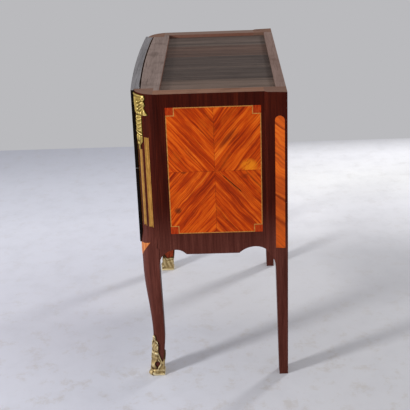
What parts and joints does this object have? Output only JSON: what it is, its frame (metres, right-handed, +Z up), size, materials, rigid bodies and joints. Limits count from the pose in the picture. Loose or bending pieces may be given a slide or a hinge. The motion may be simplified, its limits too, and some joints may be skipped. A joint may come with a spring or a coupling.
{
  "type": "chest of drawers",
  "caption": "Small commode chest on cabriole legs with drawers, marquetry sides, brass flutes, gilt corner and foot mounts, its marble top removed.",
  "frame": {"origin": "middle of the bounding box, at floor level", "axes": "+X to the chest's left-to-right seen from the front, +Y from the drawer fronts to the back, +Z up"},
  "size_m": [0.774, 0.419, 0.83],
  "materials": {
    "post_amaranth": "worn french polish",
    "rear_post_amaranth": "worn french polish",
    "panel_amaranth": "worn french polish",
    "apron_amaranth": "worn french polish",
    "drawer_amaranth": "worn french polish",
    "side_tulipwood": "french polish",
    "drawer_tulipwood": "french polish",
    "strip_tulipwood": "french polish",
    "corner_padauk": "french polish",
    "boxwood": "french polish",
    "frame_oak": "bare aged wood",
    "board_oak": "bare dusty wood",
    "back_oak": "bare aged wood",
    "inner_oak": "bare aged wood",
    "drawer_oak": "bare planed wood",
    "polished_brass": "polished",
    "gilt_corner": "gilt, worn in the hollows",
    "gilt_foot": "gilt, tarnished",
    "gilt_pull": "gilt",
    "lock_iron": "wrought and filed",
    "lock_brass": "filed"
  },
  "bodies": {
    "case": {"front_post_right": "post_amaranth", "front_post_left": "post_amaranth", "rear_post_right": "rear_post_amaranth", "rear_post_left": "rear_post_amaranth", "side_panel_right": "panel_amaranth", "side_panel_left": "panel_amaranth", "side_leaves_right": "side_tulipwood", "side_leaves_left": "side_tulipwood", "side_stringing_right": "boxwood", "side_stringing_left": "boxwood", "side_corner_squares": "corner_padauk", "rear_post_strips": "strip_tulipwood", "brass_flutes": "polished_brass", "corner_mount_right": "gilt_corner", "corner_mount_left": "gilt_corner", "foot_mount_right": "gilt_foot", "foot_mount_left": "gilt_foot", "top_front_rail": "frame_oak", "top_back_rail": "frame_oak", "top_side_rail_right": "frame_oak", "top_side_rail_left": "frame_oak", "top_boards": "board_oak", "back_top_rail": "back_oak", "back_bottom_rail": "back_oak", "back_muntin": "back_oak", "back_panels": "back_oak", "mid_rail": "inner_oak", "front_apron": "apron_amaranth", "bottom_board": "inner_oak", "drawer_runners": "inner_oak"},
    "upper_drawer": {"upper_drawer_front": "drawer_amaranth", "upper_drawer_side_right": "drawer_oak", "upper_drawer_side_left": "drawer_oak", "upper_drawer_back": "drawer_oak", "upper_drawer_bottom": "drawer_oak", "upper_marquetry": "drawer_tulipwood", "upper_stringing": "boxwood", "upper_escutcheon": "gilt_pull", "upper_lock_case": "lock_iron", "upper_pull_plates": "gilt_pull", "upper_pull_nuts": "lock_brass"},
    "upper_bolt": {"upper_lock_bolt": "lock_brass"},
    "upper_right_ring": {"upper_ring_right": "gilt_pull"},
    "upper_left_ring": {"upper_ring_left": "gilt_pull"},
    "lower_drawer": {"lower_drawer_front": "drawer_amaranth", "lower_drawer_side_right": "drawer_oak", "lower_drawer_side_left": "drawer_oak", "lower_drawer_back": "drawer_oak", "lower_drawer_bottom": "drawer_oak", "lower_marquetry": "drawer_tulipwood", "lower_stringing": "boxwood", "lower_escutcheon": "gilt_pull", "lower_lock_case": "lock_iron", "lower_pull_plates": "gilt_pull", "lower_pull_nuts": "lock_brass"},
    "lower_bolt": {"lower_lock_bolt": "lock_brass"},
    "lower_right_ring": {"lower_ring_right": "gilt_pull"},
    "lower_left_ring": {"lower_ring_left": "gilt_pull"}
  },
  "joints": [
    {"name": "upper_drawer_slide", "type": "slide", "parent": "case", "child": "upper_drawer", "axis": [0, -1, 0], "range_m": [0, 0.28]},
    {"name": "upper_bolt_throw", "type": "slide", "parent": "upper_drawer", "child": "upper_bolt", "axis": [0, 0, 1], "range_m": [0, 0.008]},
    {"name": "upper_right_ring_hinge", "type": "hinge", "parent": "upper_drawer", "child": "upper_right_ring", "pos_m": [0.13013, -0.20483, 0.7455], "axis": [-0.9998, -0.02, 0], "range_deg": [0, 120]},
    {"name": "upper_left_ring_hinge", "type": "hinge", "parent": "upper_drawer", "child": "upper_left_ring", "pos_m": [-0.13013, -0.20483, 0.7455], "axis": [-0.9998, 0.02, 0], "range_deg": [0, 120]},
    {"name": "lower_drawer_slide", "type": "slide", "parent": "case", "child": "lower_drawer", "axis": [0, -1, 0], "range_m": [0, 0.28]},
    {"name": "lower_bolt_throw", "type": "slide", "parent": "lower_drawer", "child": "lower_bolt", "axis": [0, 0, 1], "range_m": [0, 0.008]},
    {"name": "lower_right_ring_hinge", "type": "hinge", "parent": "lower_drawer", "child": "lower_right_ring", "pos_m": [0.13013, -0.20483, 0.5305], "axis": [-0.9998, -0.02, 0], "range_deg": [0, 120]},
    {"name": "lower_left_ring_hinge", "type": "hinge", "parent": "lower_drawer", "child": "lower_left_ring", "pos_m": [-0.13013, -0.20483, 0.5305], "axis": [-0.9998, 0.02, 0], "range_deg": [0, 120]}
  ]
}
